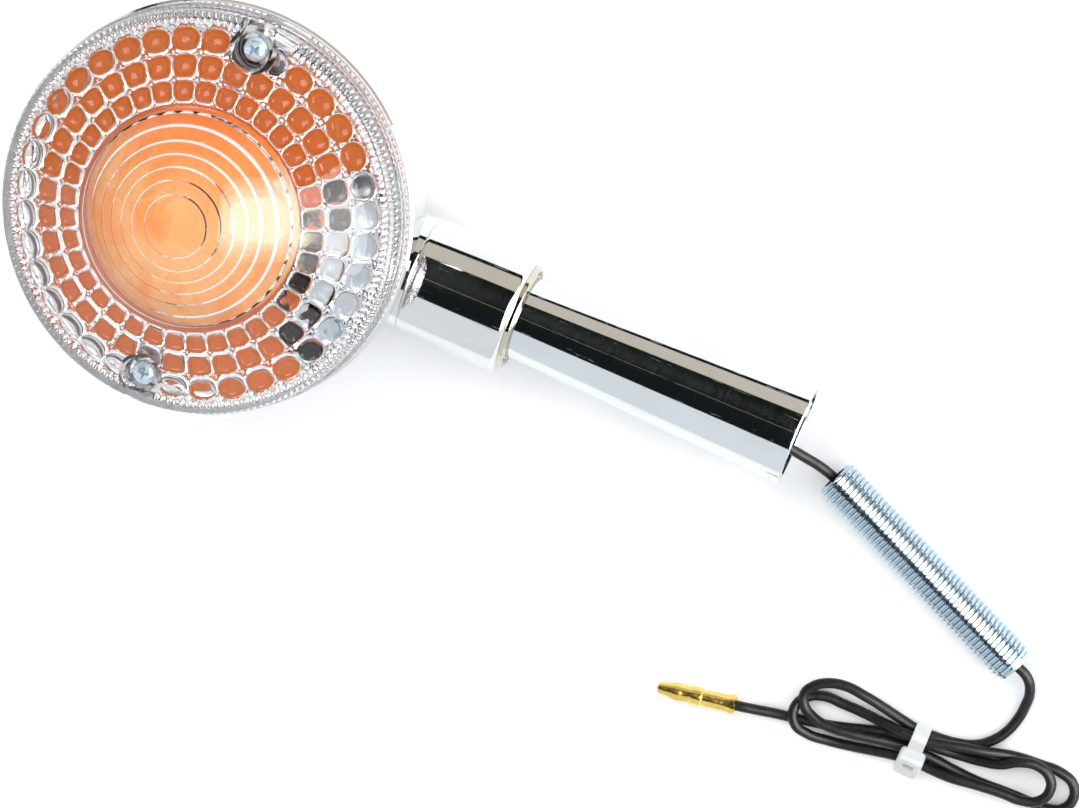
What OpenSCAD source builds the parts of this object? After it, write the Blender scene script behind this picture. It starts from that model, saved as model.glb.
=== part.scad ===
// Motorcycle turn signal: round lamp on a short tapered stem, with its lead, stud and bullet terminal.
// The lamp lies on the flat back of its housing. Lens axis is +Z and the stem runs along +X.

/* [Housing] */
// Outer radius of the housing at its rim
housing_r = 46.3; // [46:0.1:48]
// Height of the housing rim above the flat back
rim_h = 32; // [31:0.5:33]
// Radius of the flat back
back_r = 24; // [20:1:28]
// Wall thickness of the bowl
bowl_wall = 1.8; // [1.4:0.1:2.2]
// Radius of the cylinder that takes the stem
boss_r = 14; // [13.5:0.5:15]
// Distance from the lens axis to the shoulder of that cylinder
boss_x = 71; // [68:1:80]
// Height of the stem axis above the back
stem_z = 16.5; // [16:0.5:17.5]

/* [Stem] */
// Stem radius at the shoulder
stem_r1 = 9.4; // [9:0.1:10]
// Stem radius at the open end
stem_r2 = 12.25; // [11.5:0.25:13]
// Distance from the lens axis to the open end
stem_x = 139; // [130:1:150]
// Wall thickness of the stem
stem_wall = 1.4; // [1:0.1:1.8]

/* [Lens] */
// Outer radius of the lens at its front edge
lens_r = 45; // [44:0.5:45.5]
// Radius of the raised centre
dome_r = 25; // [24:0.5:26]
// Sphere radius of the raised centre
dome_sphere_r = 34; // [33:0.5:38]
// Height of the front edge above the back
edge_z = 43.1; // [42:0.1:44]
// Height at which the raised centre starts
step_z = 48.4; // [47:0.1:49]
// Wall thickness of the lens
lens_wall = 2.2; // [1.8:0.1:2.6]
// Distance of each lens screw from the lens axis
screw_y = 38.8; // [38:0.1:39.2]

/* [Bulb] */
// Height of the bulb axis above the back
bulb_z = 20.5; // [20:0.5:21]
// Radius of the glass
glass_r = 12.5; // [10:0.5:12.5]
// Radius of the metal base
base_r = 7.5; // [7.4:0.05:7.5]
// Inward travel of the bulb against its contact spring
push_travel = 1.5; // [1:0.1:1.6]
// Turn that frees the bulb, in degrees
bulb_turn = 18; // [12:1:20]

/* [Stud and lead] */
// Thread radius of the hollow stud
stud_r = 5; // [4:0.5:5]
// Bore radius of the stud
stud_bore_r = 3; // [2.8:0.1:3.2]
// Length of the stud
stud_len = 59; // [50:1:64]
// Diameter of the lead
wire_d = 2.4; // [2:0.1:2.4]

/* [Hidden] */
$fn = 96;
eps = 0.01;
wire_r = wire_d / 2;
wire_sides = 8;

post_r = 4;
post_top = rim_h - 1;
seal_h = 1;
lens_z = rim_h + seal_h;
flange_h = 3;
flange_r = 45.8;
pocket_r = 4;
pocket_z = 39.2;
lens_post_r = 5.2;
screw_r = 1.5;
screw_head_r = 2.7;
screw_tip_z = 19;

shoulder_t = 3;
boss_bore_r = 11.8;
shank_x = 58;
ring_t = 1;
grommet_x = 104;
insert_x = 108;
insert_len = 12;
insert_bore_r = 5.05;

socket_x = 15;
socket_back_x = 37;
socket_r = 8.6;
socket_bore_r = 7.7;
pin_x = 21;
pin_r = 1;
slot_w = 2.3;
bracket_z = 29.4;
bracket_t = 1.2;
bracket_screw_x = 32.5;
bracket_screw_y = 16.8;

stud_x = 149.6;
stud_y = -9.6;
stud_angle = -24.5;

bullet_x = 148.4;
bullet_y = -69.8;
bullet_z = 2.5;
bullet_angle = 190.5;
tie_x = 190;

// Lead inside the lamp, from the socket to the grommet
inner_route = [
  [36, 0, bulb_z],
  [41, 0, bulb_z],
  [46, 0, 19.5],
  [52, 0, 17.2],
  [58, 0, stem_z],
  [70, 0, stem_z],
  [90, 0, stem_z],
  [insert_x, 0, stem_z]
];

// Free lead from the grommet, out of the stem, through the stud and up to the hank
lead_route = [
  [insert_x, 0, stem_z],
  [115, 0, stem_z],
  [121, -0.4, 16],
  [127, -2, 14],
  [133, -4.2, 11.6],
  [138, -5.9, 9.9],
  [142, -7, 8.2],
  [145, -7.9, 6.6],
  [148, -9, 5.4],
  [152, -10.7, 4.6],
  [158, -13.4, 4],
  [170, -18.9, 3.6],
  [185, -25.7, 3.5],
  [197, -31.2, 3.5],
  [203, -34, 3.6],
  [206.8, -35.9, 3.4],
  [208.6, -38.9, 2.6],
  [209, -43, 1.6],
  [208.6, -47, 1.2],
  [207.4, -50.6, 1.2],
  [205.4, -53.6, 1.2],
  [202.6, -56, 1.2]
];

// Lead from the hank to the bullet terminal
tail_route = [
  [166, -66.6, 1.2],
  [162, -67.4, 1.2],
  [158, -68.1, 1.3],
  [153.5, -68.9, 1.9],
  [150.4, -69.4, 2.4],
  [147.4, -70, bullet_z]
];

// Round ends of the hank: x, y, radius
hank_ends = [[168.2, -61.8, 8.6], [190, -61.6, 5.6], [222.6, -59, 5.9]];
hank_h = 5.4;

function unit(v) = v / norm(v);
function tangent(p, i) =
  unit(p[min(i + 1, len(p) - 1)] - p[max(i - 1, 0)]);
function side(t) = unit(cross(t, [0, 0, 1]));
function ring_points(c, t, r, n) = [
  for (k = [0 : n - 1])
    let (a = 360 * k / n + 180 / n)
    c + r * (cos(a) * side(t) + sin(a) * cross(side(t), t))
];
function stem_r_at(x) =
  stem_r1 + (stem_r2 - stem_r1) * max(0, x - boss_x) / (stem_x - boss_x);

// Tube swept along a route
module swept_tube(route, r, n = wire_sides) {
  rings = len(route);
  points = [
    for (i = [0 : rings - 1])
      each ring_points(route[i], tangent(route, i), r, n)
  ];
  walls = [
    for (i = [0 : rings - 2])
      for (k = [0 : n - 1])
        [i * n + k, i * n + (k + 1) % n, (i + 1) * n + (k + 1) % n, (i + 1) * n + k]
  ];
  first_cap = [for (k = [n - 1 : -1 : 0]) k];
  last_cap = [for (k = [0 : n - 1]) (rings - 1) * n + k];
  polyhedron(points = points, faces = concat([first_cap], walls, [last_cap]));
}

// Turns a shape made along +Z so that it runs along +X
module along_x(x = 0, z = stem_z) {
  translate([x, 0, z])
  rotate([0, 90, 0])
  children();
}

// Bowl with a round lower edge; inset gives the space inside it
module bowl_solid(inset) {
  top = inset > 0 ? rim_h + 1 : rim_h;
  corner_r = housing_r - back_r;
  rotate_extrude() {
    translate([0, inset])
    square([back_r, top - inset]);
    translate([0, corner_r])
    square([housing_r - inset, top - corner_r]);
    intersection() {
      translate([back_r, corner_r])
      circle(r = corner_r - inset);
      square([housing_r, corner_r]);
    }
  }
}

module at_lens_screws() {
  for (s = [-1, 1])
    translate([0, s * screw_y, 0])
    children();
}

module at_bracket_screws() {
  for (s = [-1, 1])
    translate([bracket_screw_x, s * bracket_screw_y, 0])
    children();
}

// Chrome bowl with the cylinder for the stem, two lens screw posts and two bracket posts
module housing() {
  color([0.8, 0.8, 0.82])
  difference() {
    union() {
      difference() {
        union() {
          bowl_solid(0);
          boss_body();
        }
        bowl_solid(bowl_wall);
        along_x(20)
        cylinder(r = boss_bore_r, h = boss_x - shoulder_t - 20);
      }
      intersection() {
        bowl_solid(0);
        union() {
          at_lens_screws()
          cylinder(r = post_r, h = post_top);
          at_bracket_screws()
          cylinder(r = 3.5, h = bracket_z);
        }
      }
    }
    along_x(boss_x - 10)
    cylinder(r = stem_r1 + 0.02, h = 20);
    at_lens_screws()
    translate([0, 0, screw_tip_z - 2])
    cylinder(r = screw_r + 0.08, h = 40);
    at_bracket_screws()
    translate([0, 0, 20])
    cylinder(r = 1.25, h = 20);
  }
}

// Cylinder for the stem, with a rounded shoulder and a thin neck groove at the bowl
module boss_body() {
  edge = 1.4;
  along_x()
  rotate_extrude()
  polygon(concat(
    [[0, 20], [boss_r - 0.5, 20], [boss_r - 0.5, 46.8], [boss_r, 47.6]],
    [for (a = [0 : 15 : 90])
      [boss_r - edge + edge * cos(a), boss_x - edge + edge * sin(a)]],
    [[0, boss_x]]
  ));
}

// Soft ring between the housing rim and the lens
module lens_seal() {
  color([0.35, 0.35, 0.36])
  translate([0, 0, rim_h])
  difference() {
    cylinder(r = housing_r - 0.5, h = seal_h);
    translate([0, 0, -1])
    cylinder(r = 43, h = 4);
  }
}

// Outline of the lens from the axis to its skirt, moved in by the wall thickness
module lens_profile(inset) {
  sphere_z = step_z - sqrt(dome_sphere_r * dome_sphere_r - dome_r * dome_r);
  sweep = asin(dome_r / dome_sphere_r);
  r = dome_sphere_r - inset;
  edge = 1.5;
  low = inset > 0 ? -1 : 0;
  polygon(concat(
    [[0, lens_z + low]],
    [for (a = [0 : sweep / 10 : sweep])
      [r * sin(a), sphere_z + r * cos(a)]],
    [[41.3 - inset / 2, edge_z + 0.4 - inset]],
    [for (a = [75 : -15 : 0])
      [lens_r - inset - edge + edge * cos(a), edge_z - inset - edge + edge * sin(a)]],
    inset > 0
      ? [[lens_r - inset, lens_z + low]]
      : [[lens_r, lens_z + flange_h], [flange_r, lens_z + flange_h], [flange_r, lens_z]]
  ));
}

// Clear front lens with a raised centre and two screw pockets
module outer_lens() {
  color([0.9, 0.95, 1, 0.35])
  difference() {
    union() {
      difference() {
        rotate_extrude()
        lens_profile(0);
        rotate_extrude()
        lens_profile(lens_wall);
      }
      intersection() {
        rotate_extrude()
        lens_profile(0);
        at_lens_screws()
        translate([0, 0, lens_z])
        cylinder(r = lens_post_r, h = 30);
      }
      at_lens_screws()
      translate([0, 0, rim_h - 0.2])
      cylinder(r = 4, h = seal_h + 0.3);
    }
    at_lens_screws()
    translate([0, 0, pocket_z])
    cylinder(r = pocket_r, h = 30);
    at_lens_screws()
    cylinder(r = screw_r + 0.3, h = 60);
  }
}

// Pan head screw with a cross recess, head seat at z = 0
module pan_screw(shank_r, head_r, head_h, shank_len) {
  difference() {
    union() {
      cylinder(r = head_r, h = head_h * 0.6);
      translate([0, 0, head_h * 0.6 - eps])
      cylinder(r1 = head_r, r2 = head_r * 0.6, h = head_h * 0.4 + eps);
      translate([0, 0, -shank_len])
      cylinder(r = shank_r, h = shank_len + eps);
    }
    for (a = [0, 90])
      rotate([0, 0, a])
      translate([-head_r * 0.5, -0.3, head_h * 0.45])
      cube([head_r, 0.6, head_h]);
  }
}

module lens_screw(s) {
  color([0.7, 0.72, 0.76])
  translate([0, s * screw_y, pocket_z])
  pan_screw(screw_r, screw_head_r, 2, pocket_z - screw_tip_z);
}

module lens_screw_upper() {
  lens_screw(1);
}

module lens_screw_lower() {
  lens_screw(-1);
}

// Amber inner lens: a dome over the bulb and a flat ring, open towards the stem
module inner_lens() {
  ring_r = 38.5;
  dome_base_r = 22;
  wall = 1.4;
  color([1, 0.55, 0.15, 0.6])
  difference() {
    rotate_extrude()
    polygon(concat(
      [for (a = [0 : 9 : 90])
        [(dome_base_r) * sin(a), 38 + 15 * cos(a)]],
      [[dome_base_r, 36.2], [ring_r, 36.2], [ring_r, rim_h - 0.2]],
      [[ring_r - wall, rim_h - 0.2], [ring_r - wall, 36.2 - wall]],
      [[dome_base_r - wall, 36.2 - wall]],
      [for (a = [90 : -9 : 0])
        [(dome_base_r - wall) * sin(a), 38 + (15 - wall) * cos(a)]]
    ));
    at_lens_screws()
    cylinder(r = lens_post_r + 0.5, h = 60);
    // open sector at the stem
    linear_extrude(60)
    polygon([[23.5, -8], [27, -20.5], [50, -26], [50, 26], [27, 20.5], [23.5, 8]]);
  }
}

// Bright dish under the inner lens, cut away around the socket
module reflector() {
  t = 0.8;
  color([0.85, 0.85, 0.85])
  difference() {
    rotate_extrude()
    polygon([
      [0, 6], [12, 6.6], [24, 9.6], [33, 16], [38, 24], [40, post_top],
      [43.4, post_top], [43.4, post_top + t], [39.2, post_top + t],
      [37.2, 24.3], [32.4, 16.6], [23.6, 10.4], [11.8, 7.4], [0, 6.8]
    ]);
    translate([12, -24, 0])
    cube([40, 48, 60]);
    at_lens_screws()
    cylinder(r = screw_r + 0.4, h = 60);
    at_lens_screws()
    cylinder(r = post_r + 0.3, h = post_top);
  }
}

// Bayonet socket tube with two L-shaped slots
module socket_shell() {
  leg_low = pin_x - pin_r - 0.15;
  leg_high = pin_x + pin_r + push_travel + 0.15;
  slot_half = asin(slot_w / 2 / (socket_bore_r - 1.5));
  color([0.75, 0.7, 0.5])
  difference() {
    along_x(socket_x, bulb_z)
    cylinder(r = socket_r, h = socket_back_x - socket_x);
    along_x(socket_x - 1, bulb_z)
    cylinder(r = socket_bore_r, h = socket_back_x - socket_x);
    along_x(socket_x, bulb_z)
    cylinder(r = wire_r + 0.1, h = 40);
    for (s = [0, 180]) {
      translate([0, 0, bulb_z])
      rotate([s + bulb_turn, 0, 0])
      translate([socket_x - 1, 4, -slot_w / 2])
      cube([leg_high - socket_x, 8, slot_w]);
      along_x(leg_low, bulb_z)
      rotate([0, 0, s + 90 - slot_half])
      rotate_extrude(angle = bulb_turn + 2 * slot_half)
      translate([4, 0])
      square([8, leg_high - leg_low]);
    }
  }
}

// Plate and clamp ring that hold the socket
module socket_bracket() {
  ring_x = 29;
  ring_len = 7;
  color([0.68, 0.7, 0.74])
  difference() {
    union() {
      intersection() {
        translate([ring_x, -21, bracket_z])
        cube([13, 42, bracket_t]);
        cylinder(r = 42.4, h = 60);
      }
      along_x(ring_x, bulb_z)
      cylinder(r = bracket_z + bracket_t - bulb_z - 0.4, h = ring_len);
    }
    along_x(ring_x - 1, bulb_z)
    cylinder(r = socket_r, h = 30);
    at_bracket_screws()
    cylinder(r = 1.5, h = 60);
  }
}

// Two screws that hold the bracket
module bracket_screws() {
  color([0.7, 0.72, 0.76])
  at_bracket_screws()
  translate([0, 0, bracket_z + bracket_t])
  pan_screw(1.25, 2.4, 1.6, 8);
}

// Insulating disc that carries the lamp contact
module contact_plunger() {
  color([0.5, 0.3, 0.2])
  along_x(30.5, bulb_z)
  cylinder(r = socket_bore_r - 0.3, h = 2);
}

// Brass rivet in the middle of the disc
module contact_rivet() {
  color([0.8, 0.65, 0.3])
  along_x(32.5, bulb_z)
  cylinder(r = 2.2, h = 0.8);
}

// Spring behind the disc
module contact_spring() {
  color([0.7, 0.7, 0.7])
  along_x(32.5, bulb_z)
  difference() {
    cylinder(r = 6.4, h = 3.4);
    translate([0, 0, -1])
    cylinder(r = 5.6, h = 6);
  }
}

// Metal base of the bulb with its two bayonet pins
module bulb_base() {
  color([0.8, 0.72, 0.45])
  union() {
    along_x(14, bulb_z)
    cylinder(r = base_r, h = 15);
    translate([pin_x, 8.5, bulb_z])
    rotate([90, 0, 0])
    cylinder(r = pin_r, h = 17);
  }
}

module bulb_contact() {
  color([0.75, 0.75, 0.72])
  along_x(29, bulb_z)
  cylinder(r = 3, h = 1.5);
}

// Glass envelope: a ball and a neck
module bulb_glass() {
  ball_x = -6;
  neck_r = base_r - 0.6;
  wall = 0.7;
  neck_x = 14;
  color([0.95, 0.97, 1, 0.3])
  difference() {
    union() {
      translate([ball_x, 0, bulb_z])
      sphere(r = glass_r);
      along_x(ball_x, bulb_z)
      cylinder(r1 = glass_r * 0.86, r2 = neck_r, h = neck_x - ball_x);
    }
    translate([ball_x, 0, bulb_z])
    sphere(r = glass_r - wall);
    along_x(ball_x, bulb_z)
    cylinder(r1 = glass_r * 0.86 - wall, r2 = neck_r - wall, h = neck_x - ball_x + eps);
  }
}

// Two posts and the filament across them
module bulb_filament() {
  post_y = 3.5;
  tip_x = -6;
  color([0.6, 0.6, 0.62])
  union() {
    for (s = [-1, 1])
      translate([0, s * post_y, 0])
      along_x(tip_x, bulb_z)
      cylinder(r = 0.35, h = 14 - tip_x);
    translate([tip_x + 0.2, post_y, bulb_z])
    rotate([90, 0, 0])
    cylinder(r = 0.5, h = 2 * post_y);
    along_x(6, bulb_z)
    cylinder(r = 4.2, h = 2);
  }
}

// Tapered chrome tube
module stem_tube() {
  color([0.82, 0.82, 0.84])
  along_x()
  rotate_extrude()
  polygon([
    [stem_r1 - stem_wall, shank_x],
    [stem_r1, shank_x],
    [stem_r1, boss_x],
    [stem_r2, stem_x - 0.3],
    [stem_r2 - 0.3, stem_x],
    [stem_r2 - stem_wall, stem_x],
    [stem_r1 - stem_wall, boss_x]
  ]);
}

// Trim ring on the shoulder
module shoulder_ring() {
  color([0.78, 0.78, 0.7])
  along_x(boss_x)
  difference() {
    cylinder(r = 12.2, h = ring_t);
    translate([0, 0, -1])
    cylinder(r1 = stem_r_at(boss_x - 1) + 0.05, r2 = stem_r_at(boss_x + 2) + 0.05, h = 3);
  }
}

// Washer and hexagon nut that hold the stem inside the boss
module stem_washer() {
  color([0.65, 0.67, 0.7])
  along_x(boss_x - shoulder_t - 1)
  difference() {
    cylinder(r = 11.4, h = 1);
    translate([0, 0, -1])
    cylinder(r = stem_r1 + 0.02, h = 3);
  }
}

module stem_nut() {
  color([0.65, 0.67, 0.7])
  along_x(boss_x - shoulder_t - 6)
  difference() {
    cylinder(r = 11.4, h = 5, $fn = 6);
    translate([0, 0, -1])
    cylinder(r = stem_r1 + 0.02, h = 7);
  }
}

// Steel plug with the stud thread, inside the stem
module thread_insert() {
  color([0.6, 0.62, 0.66])
  along_x(insert_x)
  difference() {
    cylinder(
      r1 = stem_r_at(insert_x) - stem_wall,
      r2 = stem_r_at(insert_x + insert_len) - stem_wall,
      h = insert_len
    );
    translate([0, 0, -1])
    cylinder(r = insert_bore_r, h = insert_len + 2);
  }
}

// Rubber disc that grips the lead behind the plug
module lead_grommet() {
  color([0.12, 0.12, 0.12])
  along_x(grommet_x)
  difference() {
    cylinder(
      r1 = stem_r_at(grommet_x) - stem_wall,
      r2 = stem_r_at(insert_x) - stem_wall,
      h = insert_x - grommet_x
    );
    translate([0, 0, -1])
    cylinder(r = wire_r, h = 10);
  }
}

module lead_inner() {
  color([0.08, 0.08, 0.08])
  swept_tube(inner_route, wire_r);
}

module lead_free() {
  color([0.08, 0.08, 0.08])
  swept_tube(lead_route, wire_r);
}

module lead_tail() {
  color([0.08, 0.08, 0.08])
  swept_tube(tail_route, wire_r);
}

// Outer shape of the folded lead
module lead_hank() {
  color([0.12, 0.12, 0.12])
  linear_extrude(hank_h)
  for (i = [0 : len(hank_ends) - 2])
    hull()
    for (e = [hank_ends[i], hank_ends[i + 1]])
      translate([e[0], e[1]])
      circle(r = e[2], $fn = 32);
}

// Loose hollow stud that screws into the stem
module mounting_stud() {
  chamfer = 0.7;
  color([0.7, 0.75, 0.8])
  translate([stud_x, stud_y, stud_r])
  rotate([0, 0, stud_angle])
  rotate([0, 90, 0])
  rotate_extrude()
  polygon([
    [stud_bore_r, 0],
    [stud_r - chamfer, 0],
    [stud_r, chamfer],
    [stud_r, stud_len - chamfer],
    [stud_r - chamfer, stud_len],
    [stud_bore_r, stud_len]
  ]);
}

// Pressed bullet terminal with its crimp barrel
module bullet_terminal() {
  pin = 1.95;
  color([0.85, 0.68, 0.3])
  translate([bullet_x, bullet_y, bullet_z])
  rotate([0, 0, bullet_angle])
  rotate([0, 90, 0])
  difference() {
    rotate_extrude()
    polygon([
      [0, 0], [2.35, 0], [2.3, 1.2], [1.9, 4], [1.9, 7.4],
      [2.2, 8], [2.2, 10.4], [pin - 0.2, 11], [pin - 0.2, 12],
      [pin, 12.4], [pin, 15.4], [1.75, 17], [1.4, 18.3], [0, 18.6]
    ]);
    translate([0, 0, -1])
    cylinder(r = wire_r, h = 8);
  }
}

// Ratchet tie round the hank
module cable_tie() {
  width = 3.6;
  t = 1.1;
  low_y = -67.6;
  high_y = -55.6;
  top_z = 6.4;
  corner = 2.4;
  head = 6.4;
  color([0.93, 0.94, 0.92])
  union() {
    translate([tie_x - width / 2, 0, 0])
    rotate([90, 0, 90])
    linear_extrude(width)
    difference() {
      rounded_box_2d(low_y, high_y, 0, top_z, corner);
      rounded_box_2d(low_y + t, high_y - t, t, top_z - t, corner - t);
    }
    translate([tie_x, -65.2, 4.4])
    rotate([35, 0, 0])
    cube([head, 6.4, 4.2], center = true);
  }
}

module rounded_box_2d(x0, x1, y0, y1, r) {
  translate([x0 + r, y0])
  square([x1 - x0 - 2 * r, y1 - y0]);
  translate([x0, y0 + r])
  square([x1 - x0, y1 - y0 - 2 * r]);
  for (x = [x0 + r, x1 - r])
    for (y = [y0 + r, y1 - r])
      translate([x, y])
      circle(r = r);
}

housing();
lens_seal();
outer_lens();
lens_screw_upper();
lens_screw_lower();
inner_lens();
reflector();
socket_shell();
socket_bracket();
bracket_screws();
contact_plunger();
contact_rivet();
contact_spring();
bulb_base();
bulb_contact();
bulb_glass();
bulb_filament();
stem_tube();
shoulder_ring();
stem_washer();
stem_nut();
thread_insert();
lead_grommet();
lead_inner();
lead_free();
lead_hank();
lead_tail();
mounting_stud();
bullet_terminal();
cable_tie();
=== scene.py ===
from math import atan2, ceil, cos, degrees, hypot, pi, radians, sin, sqrt

import bmesh
import bpy
import numpy as np
from mathutils import Matrix, Vector


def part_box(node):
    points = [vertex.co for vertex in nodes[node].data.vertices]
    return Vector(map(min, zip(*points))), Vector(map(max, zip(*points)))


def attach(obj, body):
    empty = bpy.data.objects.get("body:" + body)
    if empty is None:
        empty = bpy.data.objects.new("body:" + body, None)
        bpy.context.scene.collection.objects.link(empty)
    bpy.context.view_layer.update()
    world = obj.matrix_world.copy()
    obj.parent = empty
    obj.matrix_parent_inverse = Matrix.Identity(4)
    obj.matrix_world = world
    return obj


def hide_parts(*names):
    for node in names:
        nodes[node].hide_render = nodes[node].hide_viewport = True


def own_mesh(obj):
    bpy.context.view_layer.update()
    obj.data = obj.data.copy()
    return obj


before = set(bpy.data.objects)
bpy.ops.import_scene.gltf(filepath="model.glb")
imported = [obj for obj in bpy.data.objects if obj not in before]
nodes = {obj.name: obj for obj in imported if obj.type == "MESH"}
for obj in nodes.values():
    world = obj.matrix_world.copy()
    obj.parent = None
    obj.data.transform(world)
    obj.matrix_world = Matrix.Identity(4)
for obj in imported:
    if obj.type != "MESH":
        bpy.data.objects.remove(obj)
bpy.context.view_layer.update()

MM = 0.001
scene = bpy.context.scene

# ---------------------------------------------------------------- places taken from the frame, in mm


def box_mm(node):
    """Lowest and highest corner of a CAD node's box."""
    low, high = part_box(node)
    return low / MM, high / MM


seal_low, seal_high = box_mm("lens_seal")
lens_high = box_mm("outer_lens")[1]
stem_low, stem_high = box_mm("stem_tube")
base_low, base_high = box_mm("bulb_base")
screw_low, screw_high = box_mm("lens_screw_upper")
ring_low, ring_high = box_mm("shoulder_ring")
spring_low, spring_high = box_mm("contact_spring")
insert_low, insert_high = box_mm("thread_insert")

RIM_Z = seal_low.z
LENS_Z = seal_high.z
STEM_Z = (stem_low.z + stem_high.z) / 2
BULB_Z = (base_low.z + base_high.z) / 2
SCREW_Y = (screw_low.y + screw_high.y) / 2
BOSS_X = ring_low.x

ALONG_X = Matrix.Rotation(pi / 2, 4, "Y")
STEM_AXIS = Matrix.Translation((0, 0, STEM_Z)) @ ALONG_X
BULB_AXIS = Matrix.Translation((0, 0, BULB_Z)) @ ALONG_X

# ---------------------------------------------------------------- camera

camera_data = bpy.data.cameras.new("camera")
camera_data.lens = 115.4
camera_data.sensor_width = 36
camera_data.clip_start = 0.02
camera = bpy.data.objects.new("camera", camera_data)
camera.location = (0.1683, 0.2011, 0.7574)
camera.rotation_euler = (radians(-12.963), radians(11.946), radians(20.497))
scene.collection.objects.link(camera)
scene.camera = camera
scene.view_settings.view_transform = "Standard"

# ---------------------------------------------------------------- mesh helpers; outlines are in mm


def arc(centre_r, centre_h, radius, start, end, points):
    """Points on a circle in the outline's plane, from one angle to another, in degrees."""
    angles = [radians(start + (end - start) * i / (points - 1)) for i in range(points)]
    return [(centre_r + radius * cos(a), centre_h + radius * sin(a)) for a in angles]


def line(first, last, points):
    """Points on a straight line, both ends included."""
    return [
        tuple(a + (b - a) * i / (points - 1) for a, b in zip(first, last))
        for i in range(points)
    ]


def smooth_line(points, per_span=5):
    """Catmull-Rom curve through an outline's points."""
    padded = [points[0], *points, points[-1]]
    result = []
    for p0, p1, p2, p3 in zip(padded, padded[1:], padded[2:], padded[3:]):
        for i in range(per_span):
            t = i / per_span
            result.append(tuple(
                0.5 * (2 * b + (c - a) * t + (2 * a - 5 * b + 4 * c - d) * t * t
                       + (3 * b - a - 3 * c + d) * t**3)
                for a, b, c, d in zip(p0, p1, p2, p3)
            ))
    return result + [points[-1]]


def new_object(name, data):
    """Puts an object with this mesh, curve or light in the scene."""
    obj = bpy.data.objects.new(name, data)
    scene.collection.objects.link(obj)
    return obj


def grid_solid(name, rows, steps, place=Matrix.Identity(4)):
    """Closed solid round its own Z axis. Each row is (radius, height); either may be an array with
    one value for each of the steps round the axis. A row of radius 0 is a single point."""
    angles = np.arange(steps) * 2 * pi / steps
    verts = []
    starts = []
    for radius, height in rows:
        count = 1 if np.isscalar(radius) and abs(radius) < 1e-9 else steps
        starts.append((len(verts), count))
        r = np.broadcast_to(radius, steps)[:count]
        h = np.broadcast_to(height, steps)[:count]
        a = angles[:count]
        verts.extend(zip(r * np.cos(a), r * np.sin(a), h))
    faces = []
    for (a0, an), (b0, bn) in zip(starts, starts[1:] + starts[:1]):
        if an == bn == 1:
            continue
        for k in range(steps):
            n = (k + 1) % steps
            corners = (a0 + k % an, a0 + n % an, b0 + n % bn, b0 + k % bn)
            faces.append(tuple(dict.fromkeys(corners)))
    return solid(name, verts, faces, place)


def solid(name, verts, faces, place=Matrix.Identity(4)):
    """Object from points in millimetres, put in place and scaled to metres."""
    mesh = bpy.data.meshes.new(name)
    mesh.from_pydata(verts, [], faces)
    mesh.transform(Matrix.Scale(MM, 4) @ place)
    tidy(mesh)
    return new_object(name, mesh)


def tidy(mesh):
    """Joins coinciding points and turns every face outwards."""
    bm = bmesh.new()
    bm.from_mesh(mesh)
    bmesh.ops.remove_doubles(bm, verts=bm.verts, dist=1e-7)
    bmesh.ops.dissolve_degenerate(bm, edges=bm.edges, dist=1e-7)
    bmesh.ops.recalc_face_normals(bm, faces=bm.faces)
    bm.to_mesh(mesh)
    bm.free()


def apply_modifiers(obj):
    depsgraph = bpy.context.evaluated_depsgraph_get()
    mesh = bpy.data.meshes.new_from_object(obj.evaluated_get(depsgraph))
    obj.modifiers.clear()
    obj.data = mesh


def combine(obj, other, operation):
    """Joins, cuts or intersects obj with other, and deletes other."""
    modifier = obj.modifiers.new("combine", "BOOLEAN")
    modifier.operation = operation
    modifier.solver = "MANIFOLD"
    modifier.object = other
    apply_modifiers(obj)
    bpy.data.objects.remove(other)


def cylinder(radius, low, high, place=Matrix.Identity(4), steps=64):
    """Plain cylinder along its own Z axis, used to cut or add with."""
    return grid_solid("tool", [(0.0, low), (radius, low), (radius, high), (0.0, high)], steps, place)


def block(low, high, place=Matrix.Identity(4)):
    """Box between two corners, used to cut or add with."""
    xs, ys, zs = zip(low, high)
    verts = [(x, y, z) for x in xs for y in ys for z in zs]
    faces = [(0, 1, 3, 2), (4, 6, 7, 5), (0, 4, 5, 1), (2, 3, 7, 6), (0, 2, 6, 4), (1, 5, 7, 3)]
    return solid("tool", verts, faces, place)


def prism(outline, low, high, place=Matrix.Identity(4)):
    """Straight prism over an outline of (x, y) points."""
    n = len(outline)
    verts = [(x, y, low) for x, y in outline] + [(x, y, high) for x, y in outline]
    faces = [tuple(range(n)), tuple(range(2 * n - 1, n - 1, -1))]
    faces += [(i, n + i, n + (i + 1) % n, (i + 1) % n) for i in range(n)]
    return solid("tool", verts, faces, place)


def smooth(obj, angle=35):
    """Smooth shading, with edges sharper than the angle left crisp."""
    obj.data.shade_smooth()
    obj.data.set_sharp_from_angle(angle=radians(angle))


def round_edges(obj, width, segments=3, angle=40):
    """Rounds the edges that are sharper than the angle."""
    bevel = obj.modifiers.new("round", "BEVEL")
    bevel.width = width * MM
    bevel.segments = segments
    bevel.angle_limit = radians(angle)
    bevel.harden_normals = False
    apply_modifiers(obj)


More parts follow.
